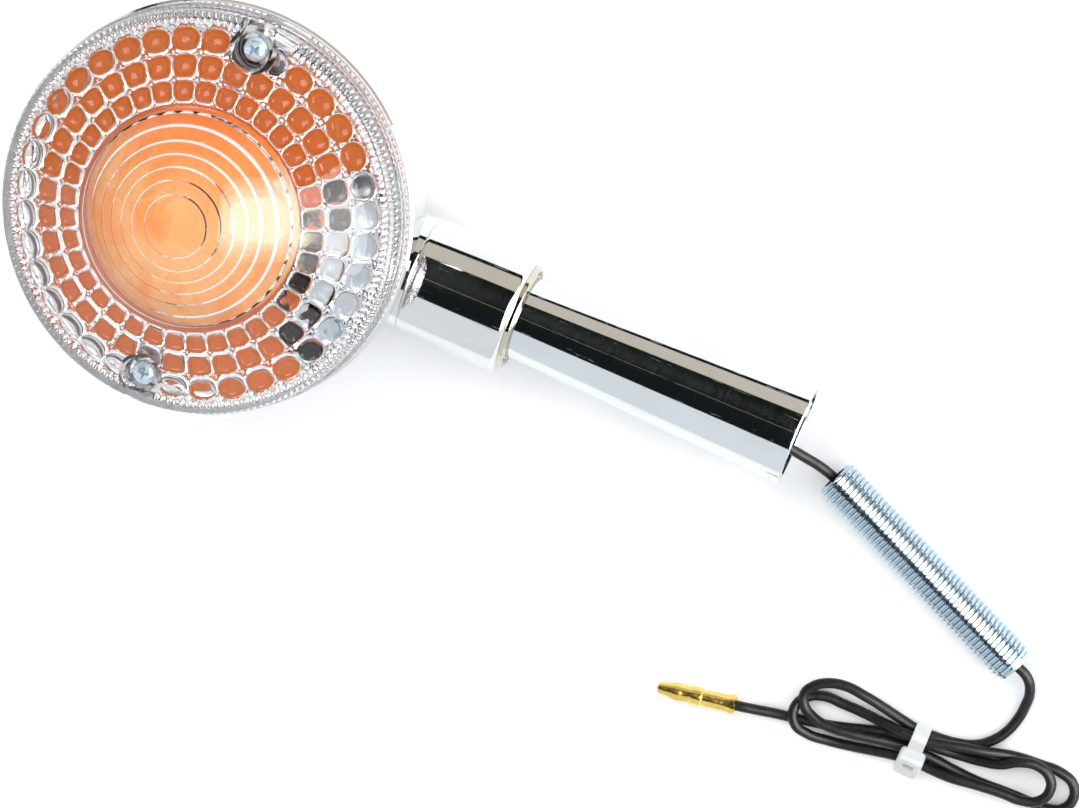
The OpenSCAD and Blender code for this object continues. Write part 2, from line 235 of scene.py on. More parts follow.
def threaded_rod(name, major, minor, pitch, length, bore, place, chamfer=0.8, steps=64, far_chamfer=0.8):
    """Rod from z = 0 up with a true helical thread, hollow where bore is above 0."""
    per_turn = 12
    end_r = minor - 0.1
    top = ceil(length / pitch) * per_turn
    rows = range(-per_turn, top + 1)

    def point(j, k):
        z = min(max((j / per_turn + k / steps) * pitch, 0), length)
        flank = abs((j / per_turn) % 1 - 0.5) * 2
        crest = min(max((0.75 - flank) / 0.4, 0), 1)
        end = end_r + (major - end_r) * min(z / chamfer, (length - z) / far_chamfer, 1)
        r = min(minor + (major - minor) * crest, end)
        a = 2 * pi * k / steps
        return (r * cos(a), r * sin(a), z)

    verts = [point(j, k) for j in rows for k in range(steps)]

    def index(j, k):
        if k == steps:
            j, k = min(j + per_turn, top), 0
        return (j + per_turn) * steps + k

    faces = []
    for j in rows[:-1]:
        for k in range(steps):
            faces.append((index(j, k), index(j, k + 1), index(j + 1, k + 1), index(j + 1, k)))
    for j, z in ((-per_turn, 0), (top, length)):
        inner = len(verts)
        if bore > 0:
            verts += [
                (bore * cos(2 * pi * k / steps), bore * sin(2 * pi * k / steps), z) for k in range(steps)
            ]
            faces += [
                (index(j, k), index(j, (k + 1) % steps), inner + (k + 1) % steps, inner + k)
                for k in range(steps)
            ]
        else:
            verts.append((0, 0, z))
            faces += [(index(j, k), index(j, (k + 1) % steps), inner) for k in range(steps)]
    if bore > 0:
        low, high = len(verts) - 2 * steps, len(verts) - steps
        faces += [
            (low + k, low + (k + 1) % steps, high + (k + 1) % steps, high + k) for k in range(steps)
        ]
    obj = solid(name, verts, faces, place)
    smooth(obj, 50)
    return obj


# ---------------------------------------------------------------- materials


def linear(red, green, blue):
    """Colour given as 0 to 255 screen values, as the linear values that shaders use."""
    return tuple(
        c / 12.92 if c <= 0.04045 else ((c + 0.055) / 1.055) ** 2.4
        for c in (red / 255, green / 255, blue / 255)
    )


class Surface:
    """One procedural material, built up from small steps."""

    def __init__(self, name, colour, roughness, metallic=0.0, **sockets):
        self.material = bpy.data.materials.new(name)
        self.material.use_nodes = True
        self.tree = self.material.node_tree
        self.shader = self.tree.nodes["Principled BSDF"]
        self.colour = colour
        self.roughness = roughness
        self.height = None
        self.shader.inputs["Base Color"].default_value = (*colour, 1)
        self.shader.inputs["Roughness"].default_value = roughness
        self.shader.inputs["Metallic"].default_value = metallic
        for socket, value in sockets.items():
            self.shader.inputs[socket.replace("_", " ")].default_value = value
        self.place = self.tree.nodes.new("ShaderNodeTexCoord").outputs["Object"]

    def node(self, kind, **values):
        node = self.tree.nodes.new(kind)
        for key, value in values.items():
            setattr(node, key, value)
        return node

    def link(self, a, b):
        self.tree.links.new(a, b)

    def noise(self, size, detail=4, stretch=(1, 1, 1)):
        """Noise whose features are about this many millimetres across; stretch lengthens it per axis."""
        mapping = self.node("ShaderNodeMapping")
        mapping.inputs["Scale"].default_value = [1 / (size * MM * s) for s in stretch]
        self.link(self.place, mapping.inputs["Vector"])
        noise = self.node("ShaderNodeTexNoise")
        noise.inputs["Scale"].default_value = 1
        noise.inputs["Detail"].default_value = detail
        self.link(mapping.outputs["Vector"], noise.inputs["Vector"])
        return noise.outputs["Fac"]

    def spread(self, value, low, high, start=0.35, end=0.65):
        """Maps a noise value to a range."""
        ranged = self.node("ShaderNodeMapRange")
        for key, number in (("From Min", start), ("From Max", end), ("To Min", low), ("To Max", high)):
            ranged.inputs[key].default_value = number
        self.link(value, ranged.inputs["Value"])
        return ranged.outputs["Result"]

    def tint(self, size, other, amount=1.0, stretch=(1, 1, 1), start=0.35, end=0.65):
        """Blends towards another colour in soft patches."""
        mix = self.node("ShaderNodeMix", data_type="RGBA")
        mix.inputs["A"].default_value = (*self.colour, 1)
        source = self.shader.inputs["Base Color"]
        if source.is_linked:
            self.link(source.links[0].from_socket, mix.inputs["A"])
        mix.inputs["B"].default_value = (*other, 1)
        self.link(self.spread(self.noise(size, 5, stretch), 0, amount, start, end), mix.inputs["Factor"])
        self.link(mix.outputs["Result"], source)
        return self

    def tint_along(self, axis, low, high, other, amount=1.0):
        """Blends towards another colour between two places along an axis, in millimetres."""
        axes = self.node("ShaderNodeSeparateXYZ")
        self.link(self.place, axes.inputs["Vector"])
        mix = self.node("ShaderNodeMix", data_type="RGBA")
        source = self.shader.inputs["Base Color"]
        self.link(source.links[0].from_socket, mix.inputs["A"])
        mix.inputs["B"].default_value = (*other, 1)
        self.link(self.spread(axes.outputs[axis], 0, amount, low * MM, high * MM), mix.inputs["Factor"])
        self.link(mix.outputs["Result"], source)
        return self

    def frost_round(self, y, radius, amount):
        """Adds roughness round the two points at plus and minus y on the Y axis."""
        axes = self.node("ShaderNodeSeparateXYZ")
        self.link(self.place, axes.inputs["Vector"])
        side = self.node("ShaderNodeMath", operation="ABSOLUTE")
        self.link(axes.outputs["Y"], side.inputs[0])
        offset = self.node("ShaderNodeMath", operation="SUBTRACT")
        self.link(side.outputs["Value"], offset.inputs[0])
        offset.inputs[1].default_value = y * MM
        flat = self.node("ShaderNodeCombineXYZ")
        self.link(axes.outputs["X"], flat.inputs["X"])
        self.link(offset.outputs["Value"], flat.inputs["Y"])
        away = self.node("ShaderNodeVectorMath", operation="LENGTH")
        self.link(flat.outputs["Vector"], away.inputs[0])
        total = self.node("ShaderNodeMath", operation="ADD")
        rough = self.shader.inputs["Roughness"]
        self.link(rough.links[0].from_socket, total.inputs[0])
        near = self.spread(away.outputs["Value"], amount, 0, (radius - 0.5) * MM, radius * MM)
        self.link(near, total.inputs[1])
        self.link(total.outputs["Value"], rough)
        return self

    def uneven(self, size, low, high, stretch=(1, 1, 1)):
        """Lets the roughness wander between two values."""
        self.link(self.spread(self.noise(size, 6, stretch), low, high), self.shader.inputs["Roughness"])
        return self

    def bump(self, size, depth, stretch=(1, 1, 1), start=0.3, end=0.7):
        """Adds relief of a depth in millimetres."""
        bump = self.node("ShaderNodeBump")
        bump.inputs["Distance"].default_value = depth * MM
        bump.inputs["Strength"].default_value = 0.94
        self.link(self.spread(self.noise(size, 4, stretch), 0, 1, start, end), bump.inputs["Height"])
        if self.height is not None:
            self.link(self.height, bump.inputs["Normal"])
        self.height = bump.outputs["Normal"]
        self.link(self.height, self.shader.inputs["Normal"])
        return self

    def scratches(self, length, width, depth):
        """Rare fine lines along the part's own X axis."""
        return self.bump(1, depth, (length, width, width), 0.66, 0.7)


def chrome(name, colour):
    surface = Surface(name, colour, 0.05, 1.0)
    surface.tint(9, tuple(c * 0.86 for c in colour), 0.5, (3, 1, 1))
    surface.uneven(0.6, 0.025, 0.075, (0.5, 7, 7))
    surface.bump(30, 0.012)
    return surface.scratches(14, 0.25, 0.004).material


def zinc(name, colour, roughness=0.16, metallic=1.0):
    surface = Surface(name, colour, roughness, metallic)
    surface.tint(3, tuple(c * 0.82 for c in colour), 0.6)
    surface.uneven(0.8, roughness * 0.7, roughness * 1.5)
    return surface.bump(0.5, 0.002).material


def brass(name, colour, roughness):
    surface = Surface(name, colour, roughness, 1.0)
    surface.tint(1.5, tuple(c * 0.72 for c in colour), 0.6, (2, 1, 1))
    surface.uneven(0.5, roughness * 0.7, roughness * 1.5)
    return surface.bump(0.5, 0.003).material


def clear_plastic():
    surface = Surface(
        "clear_acrylic", (0.985, 0.99, 0.995), 0.015, 0.0, Transmission_Weight=1.0, IOR=1.49
    )
    surface.uneven(6, 0.005, 0.03)
    surface.frost_round(SCREW_Y, 4.6, 0.12)
    return surface.bump(7, 0.01).material


def amber_plastic():
    """Frosted amber acrylic, its colour painted paler in the dome as a painted glow of light shining through,
    and deep orange in the flat ring as painted shade.
    """
    # The pale peach base colour is a painted glow of light through the dome.
    surface = Surface("amber_acrylic", linear(255, 188, 122), 0.25, 0.0, IOR=1.49)
    surface.tint(12, linear(255, 164, 84), 0.6)
    surface.tint_along("Y", 3, 19, linear(255, 126, 0))
    surface.tint_along("X", -2, 14, linear(255, 168, 92), 0.5)
    surface.tint(7, linear(255, 132, 20), 0.5, (1, 2, 1), 0.5, 0.6)
    # Painted shade: below the dome the flat ring turns deep orange.
    surface.tint_along("Z", 39, 36.4, linear(206, 98, 2))
    surface.uneven(4, 0.2, 0.35)
    surface.shader.inputs["Transmission Weight"].default_value = 0.06
    surface.shader.inputs["Specular IOR Level"].default_value = 0.15
    return surface.bump(6, 0.02).material


def glass():
    surface = Surface("bulb_glass", (0.97, 0.98, 0.98), 0.0, 0.0, Transmission_Weight=1.0, IOR=1.5)
    surface.uneven(5, 0.0, 0.03)
    return surface.bump(8, 0.01).material


def rubber(name, colour, roughness, grain):
    surface = Surface(name, colour, roughness)
    surface.tint(3, tuple(c * 1.5 + 0.001 for c in colour), 0.5)
    surface.shader.inputs["Specular IOR Level"].default_value = 0.25
    surface.uneven(1.2, roughness * 0.8, roughness * 1.2)
    return surface.bump(grain, grain * 0.06).material


def nylon():
    surface = Surface(
        "natural_nylon",
        linear(216, 215, 208),
        0.4,
        0.0,
        Transmission_Weight=0.15,
        IOR=1.53,
        Subsurface_Weight=0.15,
        Subsurface_Scale=0.002,
    )
    surface.tint(2.5, linear(196, 206, 216), 0.7)
    surface.uneven(0.8, 0.3, 0.5)
    return surface.bump(0.5, 0.02).material


def fibre():
    surface = Surface("pressed_fibre", linear(140, 92, 60), 0.75)
    surface.tint(0.8, linear(96, 60, 36), 0.8, (1, 3, 1))
    surface.uneven(0.7, 0.6, 0.85)
    return surface.bump(0.3, 0.03).material


CHROME_BODY = chrome("chrome_body", linear(218, 220, 221))
CHROME_STEM = chrome("chrome_stem", linear(218, 222, 225))
CHROME_RING = chrome("chrome_ring", linear(200, 195, 176))
BRIGHT = chrome("bright_plating", linear(235, 235, 235))
ZINC = zinc("zinc_plate", linear(205, 212, 218))
ZINC_BLUE = zinc("zinc_plate_blue", linear(190, 206, 216), 0.12)
ZINC_SATIN = zinc("zinc_plate_satin", linear(206, 226, 236), 0.28, 0.6)
SPRING_STEEL = zinc("spring_steel", linear(196, 196, 194))
WIRE_METAL = zinc("drawn_wire", linear(176, 178, 182))
SOLDER = zinc("solder", linear(200, 200, 198))
BRASS = brass("brass_terminal", linear(240, 208, 112), 0.17)
BRASS_BASE = brass("brass_base", linear(222, 202, 148), 0.3)
BRASS_CONTACT = brass("brass_contact", linear(226, 190, 100), 0.25)
SOCKET_METAL = brass("socket_metal", linear(212, 200, 160), 0.3)
CLEAR = clear_plastic()
AMBER = amber_plastic()
GLASS = glass()
PVC = rubber("black_pvc", linear(16, 17, 18), 0.34, 0.3)
RUBBER_BLACK = rubber("black_rubber", linear(24, 24, 24), 0.7, 0.5)
RUBBER_GREY = rubber("grey_foam_rubber", linear(186, 188, 188), 0.85, 0.5)
NYLON = nylon()
FIBRE = fibre()


def finish_piece(obj, body, material, slot, *replaced):
    """Gives a piece its material, the body it rides on and the CAD nodes it stands for; the slot argument is
    not used.
    """
    obj.data.materials.clear()
    obj.data.materials.append(material)
    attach(obj, body)
    if replaced:
        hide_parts(*replaced)
    return obj


def finish_node(node, material):
    """Gives a CAD node that stays visible its material."""
    mesh = nodes[node].data
    mesh.materials.clear()
    mesh.materials.append(material)


# ---------------------------------------------------------------- the lead

WIRE_D = 2.4
# From the grommet, out of the stem, through the stud and up to the hank
LEAD_ROUTE = [
    (108, 0, 16.5), (115, 0, 16.5), (121, -0.4, 16), (127, -2, 14), (133, -4.2, 11.6),
    (138, -5.9, 9.9), (142, -7, 8.2), (145, -7.9, 6.6), (148, -9, 5.4), (152, -10.7, 4.6),
    (158, -13.4, 4), (170, -18.9, 3.6), (185, -25.7, 3.5), (197, -31.2, 3.5), (203, -34, 3.6),
    (206.8, -35.9, 3.4), (208.6, -38.9, 2.6), (209, -43, 1.6), (208.6, -47, 1.2),
    (207.4, -50.6, 1.2), (205.4, -53.6, 1.2), (202.6, -56, 1.2),
]
# First loop on the left, above the second one
LEFT_LOOP_HIGH = [
    (198.6, -57.4, 1.4), (194, -57.9, 1.9), (190, -58, 2.1), (185, -57.2, 2.4), (180, -56, 3),
    (175, -55, 3.6), (170, -54.6, 3.6), (165.8, -55.7, 3.6), (163, -57.9, 3.6), (162, -60.2, 3.6),
    (163, -62.8, 3.6), (166, -64.6, 3.7), (170, -65.2, 3.8), (175, -64.7, 3.7), (180, -63.9, 3.1),
    (185, -63.2, 2.4), (190, -62.9, 2.1),
]
# First loop on the right, flat on the table
RIGHT_LOOP_LOW = [
    (195, -63.2, 1.6), (200, -63.8, 1.2), (206, -64.1, 1.2), (213, -63.8, 1.2), (219, -63.7, 1.2),
    (222.8, -63.6, 1.2), (226, -62.2, 1.2), (227.3, -59, 1.2), (226, -55.8, 1.2),
    (222.8, -54.4, 1.2), (217, -54.5, 1.2), (211, -55, 1.6), (205, -56, 3.4), (200, -57, 4),
    (195, -58.2, 4.2), (190, -59.2, 4.2),
]
# Second loop on the left, under the first, its tip over the lead that goes to the terminal
LEFT_LOOP_LOW = [
    (185.5, -59.3, 3.9), (181, -59.4, 2.8), (176, -59.5, 1.6), (171, -59.6, 1.2),
    (166.4, -59.7, 1.2), (162.8, -61.4, 1.5), (161.1, -64.3, 2.8), (162.4, -67.7, 3.5),
    (166, -69.2, 2.6), (171, -69.2, 1.4), (176, -68.4, 1.2), (181, -67.2, 1.5), (186, -66, 1.9),
    (190, -65.3, 2.1),
]
# Second loop on the right, on top of the first, back to the tie
RIGHT_LOOP_HIGH = [
    (195, -65.4, 2.6), (200, -65.1, 3.4), (206, -64.2, 3.6), (212, -63.6, 3.6), (216.6, -63.4, 3.6),
    (220.2, -61.9, 3.6), (221.6, -58.7, 3.6), (220.2, -55.5, 3.6), (216.8, -54.2, 3.6),
    (213, -55, 3.7), (209, -57.6, 3), (205, -59, 2), (200, -59.9, 1.4), (195, -60.3, 1.7),
    (190, -60.4, 2.1),
]
# From the tie to the bullet terminal
TAIL_ROUTE = [
    (186, -61, 1.7), (182, -62, 1.3), (178, -63.2, 1.2), (174, -64.5, 1.2), (170, -65.7, 1.2),
    (166, -66.6, 1.2), (162, -67.4, 1.2), (158, -68.1, 1.3), (153.5, -68.9, 1.9),
    (150.4, -69.4, 2.4), (147.4, -70, 2.5),
]
INNER_ROUTE = [
    (36, 0, 20.5), (41, 0, 20.5), (46, 0, 19.5), (52, 0, 17.2), (58, 0, 16.5), (70, 0, 16.5),
    (90, 0, 16.5), (108, 0, 16.5),
]


def wire(name, route, diameter):
    """Round wire along one smooth curve through the route's points."""
    curve = bpy.data.curves.new(name, "CURVE")
    curve.dimensions = "3D"
    curve.bevel_depth = diameter / 2 * MM
    curve.bevel_resolution = 7
    curve.use_fill_caps = True
    spline = curve.splines.new("BEZIER")
    spline.bezier_points.add(len(route) - 1)
    spline.resolution_u = 10
    for bezier, place in zip(spline.bezier_points, route):
        bezier.co = Vector(place) * MM
        bezier.handle_left_type = "AUTO"
        bezier.handle_right_type = "AUTO"
    return new_object(name, curve)


FULL_ROUTE = LEAD_ROUTE + LEFT_LOOP_HIGH + RIGHT_LOOP_LOW + LEFT_LOOP_LOW + RIGHT_LOOP_HIGH + TAIL_ROUTE
lead = finish_piece(
    wire("lead", FULL_ROUTE, WIRE_D), "lamp", PVC, "pvc_black", "lead_free", "lead_hank", "lead_tail"
)
finish_piece(wire("lead_inside", INNER_ROUTE, WIRE_D), "lamp", PVC, "pvc_black", "lead_inner")

# ---------------------------------------------------------------- lens

LENS_STEPS = 720
DOME_R = 25
DOME_SPHERE_R = 34
STEP_Z = 48.4
ZONE_R = 41.3
ZONE_Z = 43.5
LENS_R = 45
EDGE_Z = 43.1
FLANGE_R = lens_high.x
FLANGE_Z = LENS_Z + 3
DOME_CENTRE_Z = STEP_Z - sqrt(DOME_SPHERE_R**2 - DOME_R**2)
RING_RADII = [6.8, 9.8, 12.4, 15, 17.6, 20.6, 23.2, DOME_R]
# Bead rings: inner radius, outer radius, squareness of the beads
BEAD_RINGS = [(25.2, 30, 3.4), (30, 35.6, 2.9), (35.6, 41.3, 2.2)]
BEAD_CAP = 1.07
BEAD_DEPTH = 0.58
BEAD_STEP = 10
BEAD_PHASE = 2
RIB_DEPTH = 0.42
# Plain stretch of side wall beside the upper screw, in degrees round the lens
WINDOW_ANGLE = 85
WINDOW_HALF_ANGLE = 7
POCKET_R = 4
POCKET_Z = 39.2
POST_R = 5.2


def lens_top(r):
    """Height of the smooth outer face."""
    if r <= DOME_R:
        return DOME_CENTRE_Z + sqrt(DOME_SPHERE_R**2 - r * r)
    return STEP_Z + (ZONE_Z - STEP_Z) * (r - DOME_R) / (ZONE_R - DOME_R)


def ring_rows():
    """Inner face of the raised centre: nearly flat rings with steep risers between them."""
    wall, slope, riser = 2.0, 0.35, 0.1
    rows = [(0.0, lens_top(3) - wall)]
    low = 0
    for high in RING_RADII:
        middle = (low + high) / 2
        for r in np.linspace(low + riser, high - riser, 4):
            if r > 2 * riser:
                rows.append((float(r), lens_top(middle) + slope * (lens_top(r) - lens_top(middle)) - wall))
        low = high
    return rows


def bead_rows():
    """Inner face under the bead rings, with one domed bead filling each cell."""
    web = 1.4
    samples = 16
    angles = np.arange(LENS_STEPS) * 360 / LENS_STEPS
    column = np.round((angles - BEAD_PHASE) / BEAD_STEP) * BEAD_STEP + BEAD_PHASE
    rows = []
    for low, high, square in BEAD_RINGS:
        middle, half = (low + high) / 2, (high - low) / 2
        half_width = radians(BEAD_STEP / 2) * middle
        centre_x, centre_y = middle * np.cos(np.radians(column)), middle * np.sin(np.radians(column))
        blank = np.hypot(centre_x, np.abs(centre_y) - SCREW_Y) < POCKET_R
        for step in np.linspace(-1, 1, samples, endpoint=high == ZONE_R):
            away = abs(step) * (1.5 - 0.5 * abs(step))
            r = middle + half * away * np.sign(step)
            across = np.radians(angles - column) * middle / half_width
            distance = (np.abs(across) ** square + away**square) ** (1 / square)
            cap = BEAD_DEPTH * np.sqrt(np.maximum(BEAD_CAP**2 - distance**2, 0))
            bulge = half * np.where(distance < BEAD_CAP, cap, 1.2 * (distance - BEAD_CAP))
            bulge[blank] = 0
            rows.append((float(r), lens_top(r) - web - bulge))
    return rows


def rib_rows():
    """Rounded edge and side wall from inside, with fine ribs, down to the foot of the flange."""
    steps = np.arange(LENS_STEPS)
    angles = steps * 360 / LENS_STEPS
    window = np.abs(angles - WINDOW_ANGLE) < WINDOW_HALF_ANGLE
    rib = np.where(window, 0, RIB_DEPTH * np.array([1, 0.2, -1, 0.2])[steps % 4])
    rows = [(41.8, 41.8 + rib), (42.9, 41.2 + rib)]
    rows += [(43.2 + 0.8 * rib, h) for h in (40.4, 38, 36.4)]
    rows += [(43.4, 35.9), (43.6, LENS_Z), (44.8, LENS_Z + 0.4 + 0.5 * rib)]
    return rows


def lens_outline():
    """Outer face from the foot of the flange up to the axis."""
    rows = [(FLANGE_R - 0.2, LENS_Z), (FLANGE_R, LENS_Z + 0.2), (FLANGE_R, FLANGE_Z - 0.3)]
    rows += [(FLANGE_R - 0.3, FLANGE_Z), (LENS_R + 0.2, FLANGE_Z), (LENS_R, FLANGE_Z + 0.3)]
    rows += line((LENS_R, FLANGE_Z + 1), (LENS_R, EDGE_Z - 1.6), 3)
    rows += arc(LENS_R - 1.5, EDGE_Z - 1.5, 1.5, 0, 78, 6)
    rows += [(r, lens_top(r)) for r in np.linspace(ZONE_R, DOME_R + 0.3, 4)]
    rows += [(r, lens_top(r)) for r in np.linspace(DOME_R, 0, 16)]
    return [(float(r), float(h)) for r, h in rows]


def screw_post(side):
    """Clear post round one lens screw, its top just under the outer face."""
    steps = 96
    angles = np.arange(steps) * 2 * pi / steps

    def top(r):
        x, y = r * np.cos(angles), r * np.sin(angles) + side * SCREW_Y
        return np.array([lens_top(min(hypot(a, b), LENS_R - 1.4)) - 0.6 for a, b in zip(x, y)])

    rows = [(0.0, RIM_Z), (3.9, RIM_Z), (3.9, LENS_Z), (POST_R, LENS_Z)]
    rows += [(POST_R, top(POST_R)), (2.6, top(2.6)), (0.0, float(top(0)[0]))]
    return grid_solid("tool", rows, steps, Matrix.Translation((0, side * SCREW_Y, 0)))


def screw_pocket(side):
    """Space for one screw head, with a soft lip at the outer face, and the hole below."""
    lip = lens_top(SCREW_Y)
    rows = [(0.0, RIM_Z - 1), (1.8, RIM_Z - 1), (1.8, POCKET_Z - 0.5)]
    rows += [(2.3, POCKET_Z), (POCKET_R - 0.4, POCKET_Z), (POCKET_R - 0.1, POCKET_Z + 0.4)]
    rows += [(POCKET_R, lip - 1), (POCKET_R + 0.5, lip + 1.5), (POCKET_R + 0.5, 60), (0.0, 60)]
    return grid_solid("tool", rows, 96, Matrix.Translation((0, side * SCREW_Y, 0)))


def make_lens():
    """Clear lens: outer face, ringed centre, beads, ribbed wall, screw posts and pockets."""
    rows = lens_outline() + ring_rows() + bead_rows() + rib_rows()
    lens = grid_solid("lens_clear", rows, LENS_STEPS)
    for side in (-1, 1):
        combine(lens, screw_post(side), "UNION")
    for side in (-1, 1):
        combine(lens, screw_pocket(side), "DIFFERENCE")
    tidy(lens.data)
    smooth(lens, 50)
    finish_piece(lens, "lens", CLEAR, "clear_lens", "outer_lens")


def make_amber():
    """Amber element: a dome over the bulb, a flat ring with a turned-down edge, an open sector."""
    steps, wall, ring_top = 360, 1.4, 36.2
    base_r, base_z, height, edge_r = 22, 38, 15, 40.2

    def dome(inset, start, end):
        angles = [radians(start + (end - start) * i / 20) for i in range(21)]
        return [((base_r - inset) * sin(a), base_z + (height - inset) * cos(a)) for a in angles]

    outer = dome(0, 0, 90) + arc(base_r + 1, ring_top + 1, 1, 180, 270, 5)
    outer += line((base_r + 2, ring_top), (edge_r - 1, ring_top), 6)
    outer += arc(edge_r - 0.8, ring_top - 0.8, 0.8, 80, 0, 5) + [(edge_r, RIM_Z - 0.2)]
    inner = [(edge_r - wall, RIM_Z - 0.2), (edge_r - wall, ring_top - wall)]
    inner += [(base_r - wall, ring_top - wall)] + dome(wall, 90, 0)
    rows = [(r if r > 1e-6 else 0.0, h) for r, h in outer + inner]
    amber = grid_solid("amber_element", rows, steps)
    for side in (-1, 1):
        hole = cylinder(POST_R + 0.5, 20, 60, Matrix.Translation((0, side * SCREW_Y, 0)))
        combine(amber, hole, "DIFFERENCE")
    sector = [(23.5, -8), (27, -20.5), (50, -26), (50, 26), (27, 20.5), (23.5, 8)]
    combine(amber, prism(sector, 20, 60), "DIFFERENCE")
    smooth(amber, 40)
    finish_piece(amber, "lamp", AMBER, "amber_lens", "inner_lens")


def make_reflector():
    """Bright dish under the amber element, cut away round the socket."""
    outline = [(12, 6.6), (24, 9.6), (33, 16), (38, 24), (40, RIM_Z - 1), (43.4, RIM_Z - 1)]
    upper = [(43.4, RIM_Z - 0.2), (39.2, RIM_Z - 0.2), (37.2, 24.3), (32.4, 16.6), (23.6, 10.4), (11.8, 7.4)]
    rows = [(0.0, 6.0)] + smooth_line(outline[:5]) + outline[5:]
    rows += upper[:1] + smooth_line(upper[1:]) + [(0.0, 6.8)]
    dish = grid_solid("reflector_dish", rows, 192)
    combine(dish, block((12, -24, 0), (60, 24, 60)), "DIFFERENCE")
    for side in (-1, 1):
        place = Matrix.Translation((0, side * SCREW_Y, 0))
        combine(dish, cylinder(4.3, 0, RIM_Z - 1.01, place), "DIFFERENCE")
        combine(dish, cylinder(1.9, 20, 60, place), "DIFFERENCE")
    smooth(dish, 40)
    finish_piece(dish, "lamp", BRIGHT, "reflector_bright", "reflector")


# ---------------------------------------------------------------- housing and stem

HOUSING_R = 46.3
BACK_R = 24
WALL = 1.8
BOSS_R = 14
BOSS_BORE_R = 11.8
STEM_R = 9.4
STEM_WALL = 1.4
BRACKET_X = 32.5
BRACKET_Y = 16.8
STUD_PITCH = 1.25


def bowl(inset, top):
    """Closed bowl shape with a round lower edge; the outer one also has a chamfered rim."""
    corner = HOUSING_R - BACK_R
    side = HOUSING_R - inset
    chamfer = 0.5 if inset == 0 else 0
    rows = [(0.0, inset), (BACK_R, inset)]
    rows += arc(BACK_R, corner, corner - inset, -87, 0, 30)
    rows += [(side, top - 0.5), (side - chamfer, top), (0.0, top)]
    return grid_solid("housing_shell", rows, 288)


def make_housing():
    """Chrome bowl with the short cylinder for the stem, and posts for the lens and the bracket."""
    housing = bowl(0, RIM_Z)
    boss = [(0.0, 20), (BOSS_R - 0.55, 20), (BOSS_R - 0.55, 46.8), (BOSS_R - 0.2, 47.1), (BOSS_R, 47.7)]
    boss += arc(BOSS_R - 1.4, BOSS_X - 1.4, 1.4, 0, 90, 9) + [(0.0, BOSS_X)]
    combine(housing, grid_solid("tool", boss, 192, STEM_AXIS), "UNION")
    combine(housing, bowl(WALL, RIM_Z + 1), "DIFFERENCE")
    combine(housing, cylinder(BOSS_BORE_R, 20, BOSS_X - 3, STEM_AXIS, 96), "DIFFERENCE")
    # Each post: x, y, radius, top. Each hole: x, y, radius, bottom.
    posts = [(0, SCREW_Y, 4, RIM_Z - 1), (0, -SCREW_Y, 4, RIM_Z - 1)]
    posts += [(BRACKET_X, BRACKET_Y, 3.5, 29.4), (BRACKET_X, -BRACKET_Y, 3.5, 29.4)]
    for x, y, r, top in posts:
        post = cylinder(r, 0, top, Matrix.Translation((x, y, 0)))
        combine(post, bowl(0.3, RIM_Z), "INTERSECT")
        combine(housing, post, "UNION")
    holes = [(0, SCREW_Y, 1.6, 17), (0, -SCREW_Y, 1.6, 17)]
    holes += [(BRACKET_X, BRACKET_Y, 1.25, 20), (BRACKET_X, -BRACKET_Y, 1.25, 20)]
    for x, y, r, bottom in holes:
        combine(housing, cylinder(r, bottom, 60, Matrix.Translation((x, y, 0)), 32), "DIFFERENCE")
    combine(housing, cylinder(9.42, BOSS_X - 10, BOSS_X + 10, STEM_AXIS, 128), "DIFFERENCE")
    tidy(housing.data)
    smooth(housing, 30)
    finish_piece(housing, "lamp", CHROME_BODY, "chrome_body", "housing")


def make_stem():
    """Tapered stem tube, and the trim ring on the shoulder round it."""
    r1, r2, wall = STEM_R, (stem_high.z - stem_low.z) / 2, STEM_WALL
    start, end = stem_low.x, stem_high.x
    rows = [(r1 - wall, start), (r1, start)] + line((r1, BOSS_X), (r2, end - 0.4), 24)
    rows += arc(r2 - 0.4, end - 0.4, 0.4, 20, 90, 5)
    rows += [(r2 - wall + 0.3, end), (r2 - wall, end - 0.4), (r1 - wall, BOSS_X)]
    stem = grid_solid("stem_chrome", rows, 256, STEM_AXIS)
    smooth(stem, 30)
    finish_piece(stem, "lamp", CHROME_STEM, "chrome_stem", "stem_tube")
    low, high, r = ring_low.x, ring_high.x, (ring_high.z - ring_low.z) / 2
    rows = [(9.5, low), (r, low)] + arc(r - 0.35, high - 0.35, 0.35, 0, 90, 6)
    rows += arc(10.6, high, 0.45, 0, -180, 7) + [(9.6, high)]
    ring = grid_solid("shoulder_trim", rows, 192, STEM_AXIS)
    smooth(ring, 40)
    finish_piece(ring, "lamp", CHROME_RING, "chrome_ring", "shoulder_ring")


def make_stem_thread():
    """Threaded plug in the stem that takes the stud."""
    start, end = insert_low.x, insert_high.x
    # The stem widens by 2.85 in 68, so r1 is its inner radius where the plug starts
    r1 = STEM_R + 2.85 * (start - BOSS_X) / 68 - STEM_WALL
    r2, bore = (insert_high.z - insert_low.z) / 2, 5.05
    rows = [(6, start), (r1, start), (r2, end - 0.3), (r2 - 0.3, end), (5.9, end), (bore, end - 0.8)]
    turns = int((end - start - 1.6) / STUD_PITCH)
    for i in range(turns * 4, 0, -1):
        groove = (0, 0.35, 0.7, 0.35)[i % 4]
        rows.append((bore + groove, start + 0.5 + i * STUD_PITCH / 4))
    rows.append((bore, start + 0.4))
    plug = grid_solid("stem_thread_plug", rows, 96, STEM_AXIS)
    smooth(plug, 40)
    finish_piece(plug, "lamp", ZINC, "zinc", "thread_insert")


# ---------------------------------------------------------------- screws, stud and terminal


